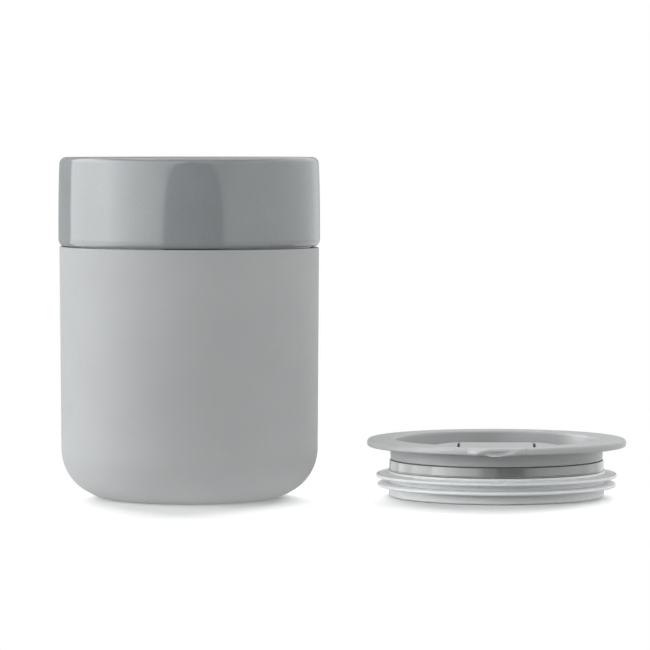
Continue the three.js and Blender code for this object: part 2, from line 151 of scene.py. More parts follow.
# Sip flap and the platform that carries it, measured from the lid's axis
HINGE_Y = round(hinge["pos_m"][1] / MM - LID_Y, 2)
HINGE_Z = round(hinge["pos_m"][2] / MM, 2)
FLAP_TOP = flap_high[2]
FLAP_UNDER = 17.65
FLAP_HALF = 11.85
FLAP_EDGE_RADIUS = 40.3
FLAP_EDGE = 0.3
BARREL_RADIUS = FLAP_TOP - HINGE_Z
BARREL_GAP = 0.12
BAY_GAP = 0.2
TRUNNION_RADIUS = 0.8
TRUNNION_END = round((flap_high[0] - flap_low[0]) / 2, 2)
TRUNNION_ROOT = 2.0
PIN_GAP = 0.15
PIN_END_GAP = 0.3
SLIT_FACE = 12.65
HAIR_GAP = 0.05
POCKET_FLOOR = 17.35
POCKET_PLATE = 2.2
PLATFORM_BACK = -16.7
PLATFORM_EDGE = 1.3
PLATFORM_WALL = 1.6
PLATFORM_OVERLAP = 1.5
PLATFORM_SUPPORT = 1.2 * PLATFORM_EDGE
# The platform's front widens this far above the neck's foot and the flange's underside, over this rise
NECK_STEP = 0.2
FLANGE_STEP = 0.3
STEP_RISE = 0.1
CHEEK_FLAT = 0.2
CHEEK_WIDTH = 8.5
CHEEK_DEPTH = 5.7
NOTCH_RADIUS = 41.5
HOLE_Y = -27.4
HOLE_LENGTH = 16.0
HOLE_WIDTH = 6.4
RECESS_FLOOR = 16.5
RECESS_GROWTH = 2.4

# The lip on the flap's front edge. Its swellings are (how far out, x, spread in x, z, spread in z)
LIP_HALF = 9.6
LIP_BACK_RADIUS = 39.2
LIP_FOOT = 0.05
LIP_SWELLINGS = [
    (2.8, -6.4, 2.9, 17.4, 1.2),
    (0.9, 7.0, 2.3, 17.5, 0.9),
    (1.2, -0.2, 3.4, 16.3, 0.55),
]
CREASE_DEPTH = 0.5
CREASE_X = 0.8
CREASE_SPREAD_X = 4.2
CREASE_Z = 17.2
CREASE_SPREAD_Z = 0.5
CREASE_BEND = 1.0
CREASE_RISE = 0.14
LIP_SAG = 0.62
LIP_SAG_SPREAD = 3.4
LIP_SIDE_SAG = 0.5
LIP_SIDE_X = 6.5
LIP_SIDE_SPREAD = 1.8

# The flap's seal: its flange in steps of (depth, growth over the drinking hole), and its plug
SEAL_GAP = 0.02
SEAL_FLANGE = [(0.0, 1.4), (0.1, 1.6), (0.6, 1.6), (0.75, 1.4), (0.8, 1.1), (0.8, -1.2), (0.9, -1.5)]
SEAL_PLUG_GROWTH = -1.7
SEAL_FOOT = 14.5
SEAL_ROUND = 0.7

# How far a cutting solid runs past what it cuts, and offsets that keep two faces out of one plane
CUT_PAST = 5.0
OUT_OF_PLANE = 0.01
SLIT_OFFSET = 0.003

# Fineness of the meshes
CUP_SEGMENTS = 256
LID_SEGMENTS = 192
BAR_SIDES = 32
STEP_ANGLE = math.radians(11.25)
# A support point beside a rounding lies this share of its radius away
SUPPORT_SHARE = 0.4
# Points of the flap's plate, as shares of the way forwards on top and of the way back underneath
PLATE_TOP_REACHES = (0.0, 0.02, 0.3, 0.5, 0.75, 0.9, 1.0)
PLATE_UNDER_REACHES = (0.0, 0.25, 0.5, 0.75)


# Profiles and meshes


def arc(centre_r, centre_z, radius, start, end, steps):
    """Points along an arc of a profile, with angles in degrees from the outward radius."""
    points = []
    for i in range(steps + 1):
        angle = math.radians(start + (end - start) * i / steps)
        points.append((centre_r + radius * math.cos(angle), centre_z + radius * math.sin(angle)))
    return points


def eased(share):
    """A share from nought to one that starts and ends gently."""
    return share * share * (3 - 2 * share)


def rounded(corners, closed=False):
    """A profile whose corners (r, z, radius) are rounded, with a support point beside each rounding."""
    count = len(corners)
    places = [Vector(corner[:2]) for corner in corners]
    radii = [corner[2] if len(corner) > 2 else 0.0 for corner in corners]
    if not closed:
        radii[0] = radii[-1] = 0.0
    reaches = []
    for i, radius in enumerate(radii):
        back = places[i - 1] - places[i]
        ahead = places[(i + 1) % count] - places[i]
        reaches.append(radius / math.tan(back.angle(ahead) / 2) if radius else 0.0)
    points = []
    for i, radius in enumerate(radii):
        here = places[i]
        if not radius:
            points.append(tuple(here))
            continue
        last = (i - 1) % count
        following = (i + 1) % count
        to_last = places[last] - here
        to_next = places[following] - here
        back = to_last.normalized()
        ahead = to_next.normalized()
        half = back.angle(ahead) / 2
        centre = here + (back + ahead).normalized() * (radius / math.sin(half))
        start = here + back * reaches[i]
        end = here + ahead * reaches[i]
        support = SUPPORT_SHARE * radius
        free_before = to_last.length - reaches[i] - reaches[last]
        free_after = to_next.length - reaches[i] - reaches[following]
        points.append(tuple(start + back * min(support, free_before / 3)))
        steps = max(2, math.ceil((math.pi - 2 * half) / STEP_ANGLE))
        first = math.atan2(start.y - centre.y, start.x - centre.x)
        turn = math.atan2(end.y - centre.y, end.x - centre.x) - first
        turn = (turn + math.pi) % (2 * math.pi) - math.pi
        for k in range(steps + 1):
            angle = first + turn * k / steps
            points.append((centre.x + radius * math.cos(angle), centre.y + radius * math.sin(angle)))
        points.append(tuple(end + ahead * min(support, free_after / 3)))
    return points


def object_from(name, mesh_builder):
    """A new object whose mesh is the given bmesh."""
    bmesh.ops.recalc_face_normals(mesh_builder, faces=mesh_builder.faces)
    mesh = bpy.data.meshes.new(name)
    mesh_builder.to_mesh(mesh)
    mesh_builder.free()
    piece = bpy.data.objects.new(name, mesh)
    bpy.context.scene.collection.objects.link(piece)
    return piece


def turned(name, profile, x=0.0, y=0.0, closed=False, segments=LID_SEGMENTS):
    """A profile turned about the vertical axis through x, y."""
    made = bmesh.new()
    rings = []
    for r, z in profile:
        if r < 1e-6:
            rings.append([made.verts.new((x * MM, y * MM, z * MM))])
            continue
        ring = []
        for i in range(segments):
            angle = 2 * math.pi * i / segments
            place = (x + r * math.cos(angle), y + r * math.sin(angle), z)
            ring.append(made.verts.new(Vector(place) * MM))
        rings.append(ring)
    pairs = list(zip(rings, rings[1:]))
    if closed:
        pairs.append((rings[-1], rings[0]))
    for low, high in pairs:
        for i in range(segments):
            k = (i + 1) % segments
            corners = [low[i % len(low)], low[k % len(low)], high[k % len(high)], high[i % len(high)]]
            corners = list(dict.fromkeys(corners))
            if len(corners) > 2:
                made.faces.new(corners)
    return object_from(name, made)


def lofted(name, sections):
    """A closed skin over a row of closed sections in millimetres, with flat ends."""
    made = bmesh.new()
    rings = [[made.verts.new(Vector(p) * MM) for p in section] for section in sections]
    count = len(rings[0])
    for low, high in zip(rings, rings[1:]):
        for i in range(count):
            k = (i + 1) % count
            made.faces.new((low[i], low[k], high[k], high[i]))
    made.faces.new(rings[0])
    made.faces.new(rings[-1])
    return object_from(name, made)


def stood_up(name, outline, low, high):
    """An outline seen from above, stood up between two heights."""
    return lofted(name, [[(x, y, z) for x, y in outline] for z in (low, high)])


def block(name, x0, y0, z0, x1, y1, z1):
    """A block between two corners in the lid's frame."""
    outline = [(x0, y0), (x1, y0), (x1, y1), (x0, y1)]
    return stood_up(name, [(LID_X + x, LID_Y + y) for x, y in outline], z0, z1)


def drum(name, radius, low, high):
    """A round solid on the lid's axis."""
    return turned(name, [(0, low), (radius, low), (radius, high), (0, high)], LID_X, LID_Y)


def bar(name, radius, x0, x1):
    """A round bar on the flap's hinge axis."""
    steps = BAR_SIDES - 1
    circle = arc(LID_Y + HINGE_Y, HINGE_Z, radius, 0, 360 * steps / BAR_SIDES, steps)
    return lofted(name, [[(LID_X + x, y, z) for y, z in circle] for x in (x0, x1)])


def oblong(length, width, steps=16):
    """An oblong with round ends round the middle of the drinking hole, in the lid's frame."""
    run = (length - width) / 2
    radius = width / 2
    right = arc(LID_X + run, LID_Y + HOLE_Y, radius, -90, 90, steps)
    left = arc(LID_X - run, LID_Y + HOLE_Y, radius, 90, 270, steps)
    return right + left


def hole_stack(name, levels):
    """A stack of oblongs (z, growth), each the drinking hole grown in length and width."""
    sections = []
    for z, growth in levels:
        sections.append([(x, y, z) for x, y in oblong(HOLE_LENGTH + growth, HOLE_WIDTH + growth)])
    return lofted(name, sections)


def combine(piece, other, operation):
    """Joins another solid to a piece, cuts it out of the piece, or keeps what the two share."""
    change = piece.modifiers.new("combine", "BOOLEAN")
    change.operation = operation
    change.object = other
    change.solver = "EXACT"
    graph = bpy.context.evaluated_depsgraph_get()
    mesh = bpy.data.meshes.new_from_object(piece.evaluated_get(graph))
    piece.modifiers.clear()
    before = piece.data
    piece.data = mesh
    mesh.name = piece.name
    bpy.data.meshes.remove(before)
    spent = other.data
    bpy.data.objects.remove(other)
    bpy.data.meshes.remove(spent)


def smoothed(piece, sharp_angle):
    """Smooth shading, with edges kept sharp where faces meet at more than the given angle."""
    piece.data.shade_smooth()
    piece.data.set_sharp_from_angle(angle=math.radians(sharp_angle))
    return piece


# Pieces


def cup_profile():
    """The cup's section: round base, stepped-out band, rim, tapered inside and floor."""
    body_round = BASE_ROUND - CUP_UNDERSIDE
    body_top_radius = SLEEVE_TOP_RADIUS - CUP_UNDERSIDE
    foot_angle = math.degrees(math.acos(1 - BAND_FOOT_STEP / BAND_FOOT_ROUND))
    wall_start = BAND_FOOT + BAND_FOOT_ROUND * math.sin(math.radians(foot_angle))
    wall_end = CUP_HEIGHT - RIM_ROUND
    rim_radius = BAND_RADIUS - BAND_DRAW_IN - RIM_ROUND
    below_band = 0.4
    above_round = 0.1
    points = [(0.0, CUP_UNDERSIDE)]
    points += arc(BASE_FLAT, BASE_ROUND, body_round, -90, 0, steps=16)
    points += [(body_top_radius, BAND_FOOT - below_band), (body_top_radius, BAND_FOOT)]
    points += arc(BAND_RADIUS - BAND_FOOT_ROUND, wall_start, BAND_FOOT_ROUND, -foot_angle, 0, steps=8)
    points.append((BAND_RADIUS, wall_start + above_round))
    wall_steps = 24
    for i in range(1, wall_steps):
        up = i / wall_steps
        points.append((BAND_RADIUS - BAND_DRAW_IN * up ** 3, wall_start + (wall_end - wall_start) * up))
    points += arc(rim_radius, CUP_HEIGHT - RIM_ROUND, RIM_ROUND, 0, 90, steps=12)
    inner_centre = BORE_RADIUS + RIM_INNER_ROUND
    points += arc(inner_centre, CUP_HEIGHT - RIM_INNER_ROUND, RIM_INNER_ROUND, 90, 180, steps=10)
    mouth_foot = CUP_HEIGHT - MOUTH_DEPTH
    run_in_steps = 16
    for i in range(run_in_steps + 1):
        down = i / run_in_steps
        narrow = (BORE_RADIUS - INSIDE_FOOT_RADIUS - INSIDE_TAPER) * eased(down)
        points.append((BORE_RADIUS - narrow, mouth_foot - MOUTH_RUN_IN * down))
    floor_centre = INSIDE_FOOT_RADIUS - FLOOR_ROUND
    points += arc(floor_centre, FLOOR_TOP + FLOOR_ROUND, FLOOR_ROUND, 0, -90, steps=16)
    points.append((0.0, FLOOR_TOP))
    return points


def ceramic_cup():
    """The glazed cup, turned in one piece."""
    return smoothed(turned("cup_glazed", cup_profile(), segments=CUP_SEGMENTS), sharp_angle=40)


def silicone_sleeve():
    """An open shell with a round base. Its top edge leans a little to one side."""
    inner_top = SLEEVE_TOP_RADIUS - SLEEVE_WALL
    inner_foot = SLEEVE_FOOT_RADIUS - SLEEVE_WALL
    top_edge = rounded([
        (SLEEVE_FOOT_RADIUS, BASE_ROUND),
        (SLEEVE_TOP_RADIUS, SLEEVE_TOP, SLEEVE_OUTER_ROUND),
        (inner_top, SLEEVE_TOP, SLEEVE_INNER_ROUND),
        (inner_foot, BASE_ROUND),
    ])
    points = [(0.0, 0.0)]
    points += arc(BASE_FLAT, BASE_ROUND, BASE_ROUND, -90, 0, steps=24)[:-1]
    points += top_edge
    points += arc(BASE_FLAT, BASE_ROUND, BASE_ROUND - SLEEVE_WALL, 0, -90, steps=16)[1:]
    points.append((0.0, SLEEVE_WALL))
    piece = turned("sleeve_soft", points, segments=CUP_SEGMENTS)
    for vertex in piece.data.vertices:
        if vertex.co.z > (SLEEVE_TOP - SLEEVE_EDGE) * MM:
            vertex.co.z -= SLEEVE_LEAN * vertex.co.x
    return smoothed(piece, sharp_angle=40)


def lid_plug():
    """The plug ring: a foot lip, the gasket's groove, a beaded collar and the spigot's socket."""
    bead = PLUG_RADIUS + BEAD_PROUD
    socket_floor = SPIGOT_FOOT - SOCKET_GAP
    profile = rounded([
        (PLUG_INNER_RADIUS, 0.0, PLUG_FOOT_ROUND),
        (FOOT_LIP_RADIUS, 0.0, SLIGHT),
        (FOOT_LIP_RADIUS, FOOT_LIP_TOP, FINE),
        (GROOVE_RADIUS, FOOT_LIP_TOP, CRISP),
        (GROOVE_RADIUS, COLLAR_FOOT, CRISP),
        (bead, COLLAR_FOOT, FINE),
        (bead, COLLAR_FOOT + BEAD_HEIGHT, FINE),
        (PLUG_RADIUS - COLLAR_INSET, COLLAR_FOOT + BEAD_RUN_OUT, CRISP),
        (COLLAR_TOP_RADIUS, COLLAR_TOP, SOFT),
        (SOCKET_RADIUS, COLLAR_TOP, FINE),
        (SOCKET_RADIUS, socket_floor, CRISP),
        (PLUG_INNER_RADIUS, socket_floor, PLUG_TOP_ROUND),
    ], closed=True)
    return smoothed(turned("lid_plug_ring", profile, LID_X, LID_Y, closed=True), sharp_angle=50)


def fin_corners(level, radius):
    """The corners of one sealing fin, thicker at its root."""
    return [
        (PLUG_RADIUS, level - FIN_ROOT / 2, SOFT),
        (radius, level - FIN_TIP / 2, FIN_TIP_ROUND),
        (radius, level + FIN_TIP / 2, FIN_TIP_ROUND),
        (PLUG_RADIUS, level + FIN_ROOT / 2, SOFT),
    ]


def lid_gasket():
    """The gasket in the plug's groove, with two fins and a skirt over the plug's foot lip."""
    inner = GROOVE_RADIUS + GASKET_FIT
    skirt = FOOT_LIP_RADIUS + GASKET_FIT
    corners = [(inner, GASKET_BOTTOM, CRISP), (skirt, GASKET_BOTTOM, CRISP)]
    corners += [(skirt, SKIRT_BOTTOM, SHARP), (PLUG_RADIUS, SKIRT_BOTTOM, SKIRT_ROUND)]
    corners += fin_corners(LOWER_FIN, LOWER_FIN_RADIUS)
    corners += fin_corners(UPPER_FIN, UPPER_FIN_RADIUS)
    corners += [(PLUG_RADIUS, GASKET_TOP, SLIGHT), (inner, GASKET_TOP, CRISP)]
    piece = turned("lid_gasket_ring", rounded(corners, closed=True), LID_X, LID_Y, closed=True)
    return smoothed(piece, sharp_angle=50)


def platform_outline(drawn_in, front_radius, steps=24):
    """The platform seen from above, drawn in by a distance, in the lid's frame."""
    back = PLATFORM_BACK - drawn_in
    flat_end = SLIT_FACE + CHEEK_FLAT - drawn_in
    side_x = SLIT_FACE + CHEEK_WIDTH - drawn_in
    side_y = -math.sqrt(front_radius ** 2 - side_x ** 2)
    bend_x = (flat_end + side_x) / 2
    right = []
    for i in range(steps + 1):
        t = i / steps
        x = (1 - t) ** 2 * flat_end + 2 * t * (1 - t) * bend_x + t ** 2 * side_x
        y = (1 - t) ** 2 * back + 2 * t * (1 - t) * back + t ** 2 * side_y
        right.append((x, y))
    front_angle = math.degrees(math.atan2(side_y, side_x))
    front = arc(0, 0, front_radius, front_angle, -180 - front_angle, 2 * steps)[1:-1]
    left = [(-x, y) for x, y in reversed(right)]
    return [(LID_X + x, LID_Y + y) for x, y in right + front + left]


def platform_stack(name, levels):
    """A stack of platform outlines (z, drawn in, front radius)."""
    sections = []
    for z, drawn_in, front_radius in levels:
        sections.append([(x, y, z) for x, y in platform_outline(drawn_in, front_radius)])
    return lofted(name, sections)


def platform():
    """The raised part of the lid's dish that carries the flap. Its front ends inside the lid's wall."""
    in_spigot = (DISH_FOOT_RADIUS + SPIGOT_RADIUS) / 2
    in_neck = (DISH_RADIUS + NECK_WAIST_RADIUS) / 2
    in_flange = DISH_RADIUS + DISH_ROUND + PLATFORM_OVERLAP
    top = FLANGE_TOP - OUT_OF_PLANE
    levels = [
        ((SPIGOT_FOOT + DISH_FLOOR) / 2, 0.0, in_spigot),
        (NECK_FOOT + NECK_STEP, 0.0, in_spigot),
        (NECK_FOOT + NECK_STEP + STEP_RISE, 0.0, in_neck),
        (FLANGE_UNDER + FLANGE_STEP, 0.0, in_neck),
        (FLANGE_UNDER + FLANGE_STEP + STEP_RISE, 0.0, in_flange),
        (top - PLATFORM_SUPPORT, 0.0, in_flange),
    ]
    for inward, up in arc(0, 0, PLATFORM_EDGE, 0, 90, steps=8):
        levels.append((top - PLATFORM_EDGE + up, PLATFORM_EDGE - inward, in_flange))
    return platform_stack("platform", levels)


def pocket_outline():
    """The room for the flap, seen from above: a slit at each side, a hair gap and the lip's notch."""
    wide = SLIT_FACE - SLIT_OFFSET
    notch = LIP_HALF + HAIR_GAP
    end_radius = FLAP_EDGE_RADIUS + HAIR_GAP
    start = math.degrees(math.asin(wide / end_radius)) - 90
    end = math.degrees(math.asin(notch / end_radius)) - 90
    right = [(wide, HINGE_Y - BARREL_RADIUS)]
    right += arc(0, 0, end_radius, start, end, steps=8)
    right += [(notch, -FLANGE_RADIUS - CUT_PAST)]
    left = [(-x, y) for x, y in reversed(right)]
    return [(LID_X + x, LID_Y + y) for x, y in right + left]


def lid_cover():
    """The lid's upper moulding, with the platform joined to it and the flap's rooms cut out of it."""
    profile = rounded([
        (0.0, SPIGOT_FOOT),
        (SPIGOT_RADIUS, SPIGOT_FOOT, SOFT),
        (SPIGOT_RADIUS, NECK_FOOT, CRISP),
        (NECK_FOOT_RADIUS, NECK_FOOT, SOFT),
        (NECK_WAIST_RADIUS, (NECK_FOOT + FLANGE_UNDER) / 2, NECK_WAIST_ROUND),
        (NECK_TOP_RADIUS, FLANGE_UNDER, NECK_FILLET),
        (FLANGE_RADIUS, FLANGE_UNDER, FLANGE_UNDER_ROUND),
        (FLANGE_RADIUS, FLANGE_TOP, FLANGE_ROUND),
        (DISH_RADIUS, FLANGE_TOP, DISH_ROUND),
        (DISH_FOOT_RADIUS, DISH_FLOOR, DISH_CORNER),
        (0.0, DISH_FLOOR),
    ])
    piece = turned("lid_cover_moulded", profile, LID_X, LID_Y)
    combine(piece, platform(), "UNION")
    below = SPIGOT_FOOT - CUT_PAST
    above = FLAP_TOP + CUT_PAST
    hollow_out(piece, below)
    room_for_flap(piece, below, above)
    recess = [(z, RECESS_GROWTH) for z in (RECESS_FLOOR, above)]
    combine(piece, hole_stack("recess", recess), "DIFFERENCE")
    hole = [(z, 0.0) for z in (below, above)]
    combine(piece, hole_stack("hole", hole), "DIFFERENCE")
    return smoothed(piece, sharp_angle=32)


def hollow_out(piece, below):
    """Hollows the platform from below: its cheeks, and the well under the drinking hole."""
    inside_spigot = SPIGOT_RADIUS - PLATFORM_WALL
    cheek_top = FLANGE_TOP - CHEEK_DEPTH
    cheeks = [(z, PLATFORM_WALL, inside_spigot) for z in (below, cheek_top)]
    combine(piece, platform_stack("hollow", cheeks), "DIFFERENCE")
    plate_under = POCKET_FLOOR - POCKET_PLATE
    half = HOLE_LENGTH / 2 + PLATFORM_WALL
    back = HINGE_Y - (BARREL_RADIUS + BAY_GAP) - PLATFORM_WALL
    well = block("hollow", -half, -inside_spigot, below, half, back, plate_under)
    combine(well, drum("inside", inside_spigot, below, plate_under), "INTERSECT")
    combine(piece, well, "DIFFERENCE")


def room_for_flap(piece, below, above):
    """Cuts the flap's rooms: the barrel's bay, the plate's pocket, the lip's notch and the pin holes."""
    room = BARREL_RADIUS + BAY_GAP
    bay_half = FLAP_HALF + BARREL_GAP
    bay_back = PLATFORM_BACK + CUT_PAST
    bay = block("bay", -bay_half, HINGE_Y - room, HINGE_Z - room, bay_half, bay_back, above)
    combine(piece, bay, "DIFFERENCE")
    combine(piece, stood_up("pocket", pocket_outline(), POCKET_FLOOR, above), "DIFFERENCE")
    half = LIP_HALF + HAIR_GAP
    front = -FLANGE_RADIUS - CUT_PAST
    back = -math.sqrt(NOTCH_RADIUS ** 2 - half ** 2)
    notch = block("notch", -half, front, FLANGE_UNDER - CUT_PAST, half, back, above)
    combine(notch, drum("back", NOTCH_RADIUS, below, above), "DIFFERENCE")
    combine(piece, notch, "DIFFERENCE")
    pin_end = TRUNNION_END + PIN_END_GAP
    combine(piece, bar("pins", TRUNNION_RADIUS + PIN_GAP, -pin_end, pin_end), "DIFFERENCE")


def bell(x, centre, spread):
    """One at the centre, falling smoothly to nought on both sides."""
    return math.exp(-(((x - centre) / spread) ** 2))


def lip_section(x):
    """The flap's front lip at one place across its width: swellings, a crease and a sagging foot."""
    fade = 1 - (x / LIP_HALF) ** 2
    outer = FLANGE_RADIUS
    inner = NOTCH_RADIUS + HAIR_GAP
    top = FLANGE_TOP + OUT_OF_PLANE
    under = FLAP_UNDER + OUT_OF_PLANE
    sag = LIP_SAG * bell(x, 0.0, LIP_SAG_SPREAD)
    sag += LIP_SIDE_SAG * bell(abs(x), LIP_SIDE_X, LIP_SIDE_SPREAD)
    bottom = FLANGE_UNDER - fade * sag
    upper = top - FLANGE_ROUND
    lower = bottom + FLANGE_UNDER_ROUND
    straight = 10
    face = arc(outer - FLANGE_ROUND, upper, FLANGE_ROUND, 90, 0, steps=10)
    face += [(outer, upper + (lower - upper) * i / straight) for i in range(1, straight)]
    face += arc(outer - FLANGE_UNDER_ROUND, lower, FLANGE_UNDER_ROUND, 0, -80, steps=8)
    crease_z = CREASE_Z + CREASE_RISE * max(x - CREASE_BEND, 0.0)
    section = [(LIP_BACK_RADIUS, top)]
    for r, z in face:
        share = max(0.0, min(1.0, (r - outer + FLANGE_ROUND) / FLANGE_ROUND))
        swell = 0.0
        for out, middle_x, spread_x, middle_z, spread_z in LIP_SWELLINGS:
            swell += out * bell(x, middle_x, spread_x) * bell(z, middle_z, spread_z)
        swell -= CREASE_DEPTH * bell(x, CREASE_X, CREASE_SPREAD_X) * bell(z, crease_z, CREASE_SPREAD_Z)
        section.append((r + share * fade * swell, z))
    section += [(inner, bottom + LIP_FOOT), (inner, under), (LIP_BACK_RADIUS, under)]
    return [(LID_X + x, LID_Y - math.sqrt(r * r - x * x), z) for r, z in section]


def plate_section(x, inset):
    """The flap's plate and round back edge at one place across its width. Its front ends flush."""
    under = FLAP_UNDER + inset
    radius = BARREL_RADIUS - inset
    y_front = -math.sqrt(FLAP_EDGE_RADIUS ** 2 - x ** 2)
    meet = math.degrees(math.asin((under - HINGE_Z) / radius))
    proud = FLAP_TOP - FLANGE_TOP
    points = []
    for reach in PLATE_TOP_REACHES:
        top = FLAP_TOP - inset - proud * eased(max(0.0, 2 * reach - 1))
        points.append((HINGE_Y + (y_front - HINGE_Y) * reach, top))
    for reach in PLATE_UNDER_REACHES:
        points.append((y_front + (HINGE_Y - y_front) * reach, under))
    points += arc(HINGE_Y, HINGE_Z, radius, 180 - meet, 450, steps=30)[:-1]
    return [(LID_X + x, LID_Y + y, z) for y, z in points]


def sip_flap():
    """The flap: a plate with rounded sides, the front lip, and a trunnion on each side."""
    inner = FLAP_HALF - 2 * FLAP_EDGE
    inner_steps = 24
    sides = []
    for along, out in arc(0, 0, FLAP_EDGE, 0, 90, steps=4):
        sides.append((FLAP_HALF - FLAP_EDGE + out, FLAP_EDGE - along))
    sections = [plate_section(-x, inset) for x, inset in reversed(sides)]
    for i in range(inner_steps + 1):
        sections.append(plate_section(-inner + 2 * inner * i / inner_steps, 0.0))
    sections += [plate_section(x, inset) for x, inset in sides]
    piece = lofted("sip_flap_moulded", sections)
    lip_steps = 72
    lip = [lip_section(LIP_HALF * (2 * i / lip_steps - 1)) for i in range(lip_steps + 1)]
    combine(piece, lofted("lip", lip), "UNION")
    for side in (-1, 1):
        ends = sorted((side * (FLAP_HALF - TRUNNION_ROOT), side * TRUNNION_END))
        combine(piece, bar("trunnion", TRUNNION_RADIUS, *ends), "UNION")
    return smoothed(piece, sharp_angle=32)


def flap_seal():
    """The cap under the flap: a thin flange and a plug with a rounded foot."""
    top = FLAP_UNDER - SEAL_GAP
    levels = [(top - tone_and_painted_shade, growth) for tone_and_painted_shade, growth in SEAL_FLANGE]
    levels.append((SEAL_FOOT + SEAL_ROUND * (1 + SUPPORT_SHARE), SEAL_PLUG_GROWTH))
    for along, down in arc(0, 0, SEAL_ROUND, 0, 90, steps=6):
        shrink = 2 * (SEAL_ROUND - along)
        levels.append((SEAL_FOOT + SEAL_ROUND - down, SEAL_PLUG_GROWTH - shrink))
    return smoothed(hole_stack("flap_seal_soft", levels), sharp_angle=40)


# Node trees

# Most of a noise's values lie between these
NOISE_LOW = 0.3
NOISE_HIGH = 0.7


class Nodes:
    """A node tree, with short ways to add nodes to it and to join them."""

    def __init__(self, owner):
        owner.use_nodes = True
        self.tree = owner.node_tree

    def add(self, kind, **settings):
        node = self.tree.nodes.new(kind)
        for key, value in settings.items():
            setattr(node, key, value)
        return node

    def link(self, start, end):
        self.tree.links.new(start, end)

    def feed(self, socket, value):
        """Links another node's output to a socket, or sets a constant on it."""
        if isinstance(value, bpy.types.NodeSocket):
            self.link(value, socket)
        else:
            socket.default_value = value

    def maths(self, operation, *values):
        node = self.add("ShaderNodeMath", operation=operation)
        for socket, value in zip(node.inputs, values):
            self.feed(socket, value)
        return node.outputs["Value"]

    def length(self, place, scale=None, shift=None):
        """The length of a vector, which may be scaled and shifted first."""
        if scale:
            moved = self.add("ShaderNodeVectorMath", operation="MULTIPLY_ADD")
            for socket, value in zip(moved.inputs, (place, scale, shift)):
                self.feed(socket, value)
            place = moved.outputs["Vector"]
        node = self.add("ShaderNodeVectorMath", operation="LENGTH")
        self.link(place, node.inputs[0])
        return node.outputs["Value"]

    def spread(self, value, low, high, from_low=NOISE_LOW, from_high=NOISE_HIGH, smooth=False):
        """A value whose given range is carried over to the range from low to high."""
        node = self.add("ShaderNodeMapRange", interpolation_type="SMOOTHSTEP" if smooth else "LINEAR")
        ends = {"From Min": from_low, "From Max": from_high, "To Min": low, "To Max": high}
        for name, end in ends.items():
            self.feed(node.inputs[name], end)
        self.link(value, node.inputs["Value"])
        return node.outputs["Result"]

    def ramp(self, value, stops):
        """A colour that a value picks from stops (position, colour)."""
        node = self.add("ShaderNodeValToRGB")
        elements = node.color_ramp.elements
        while len(elements) < len(stops):
            elements.new(0.5)
        for element, (position, colour) in zip(elements, stops):
            element.position = position
            element.color = (*colour, 1.0)
        self.link(value, node.inputs["Fac"])
        return node.outputs["Color"]


class Finish(Nodes):
    """A new material's node tree round its principled shader."""

    def __init__(self, name):
        self.material = bpy.data.materials.new(name)
        super().__init__(self.material)
        self.shader = self.tree.nodes["Principled BSDF"]
        self.place = self.add("ShaderNodeTexCoord").outputs["Object"]

    def noise(self, scale, detail=2.0, roughness=0.5):
        node = self.add("ShaderNodeTexNoise")
        node.inputs["Scale"].default_value = scale
        node.inputs["Detail"].default_value = detail
        node.inputs["Roughness"].default_value = roughness
        self.link(self.place, node.inputs["Vector"])
        return node.outputs["Fac"]

    def mottle(self, noise, low, high):
        """A colour that wanders between two with a noise."""
        return self.ramp(noise, [(NOISE_LOW, low), (NOISE_HIGH, high)])

    def multiply(self, first, second):
        node = self.add("ShaderNodeMix", data_type="RGBA", blend_type="MULTIPLY")
        node.inputs["Factor"].default_value = 1.0
        self.link(first, node.inputs["A"])
        self.link(second, node.inputs["B"])
        return node.outputs["Result"]

    def bump(self, noise, distance, strength, normal=None):
        node = self.add("ShaderNodeBump")
        node.inputs["Strength"].default_value = strength
        node.inputs["Distance"].default_value = distance
        self.link(noise, node.inputs["Height"])
        if normal:
            self.link(normal, node.inputs["Normal"])
        return node.outputs["Normal"]

    def finished(self, colour, roughness, normal, **constants):
        """Joins the looks to the shader, sets its constants and gives the material."""
        self.link(colour, self.shader.inputs["Base Color"])
        self.link(roughness, self.shader.inputs["Roughness"])
        self.link(normal, self.shader.inputs["Normal"])
        for name, value in constants.items():
            self.shader.inputs[name.replace("_", " ")].default_value = value
        return self.material


def grey(level, tint=0.012):
    """A slightly cool grey, in linear light."""
    return (level * (1 - tint), level * (1 + tint / 3), level * (1 + tint))


def neutral(level):
    """A grey with no tint."""
    return grey(level, tint=0.0)


# Materials


def glaze():
    """Glossy grey glaze: broad pooling, fine speckle and a gently uneven surface."""
    nodes = Finish("grey_glaze")
    tint = 0.028
    pooling = nodes.mottle(nodes.noise(scale=70.0, detail=3.0), grey(0.193, tint), grey(0.208, tint))
    fine = nodes.noise(scale=1500.0, roughness=0.6)
    speckle = nodes.ramp(fine, [(0.32, grey(0.965)), (0.5, grey(1.0)), (0.7, grey(1.025))])
    wave = nodes.bump(nodes.noise(scale=95.0, detail=1.0), distance=0.0004, strength=0.05)
    peel = nodes.bump(nodes.noise(scale=900.0), distance=0.00002, strength=0.15, normal=wave)
    roughness = nodes.spread(nodes.noise(scale=220.0), low=0.075, high=0.12)
    return nodes.finished(nodes.multiply(pooling, speckle), roughness, peel, IOR=1.5)


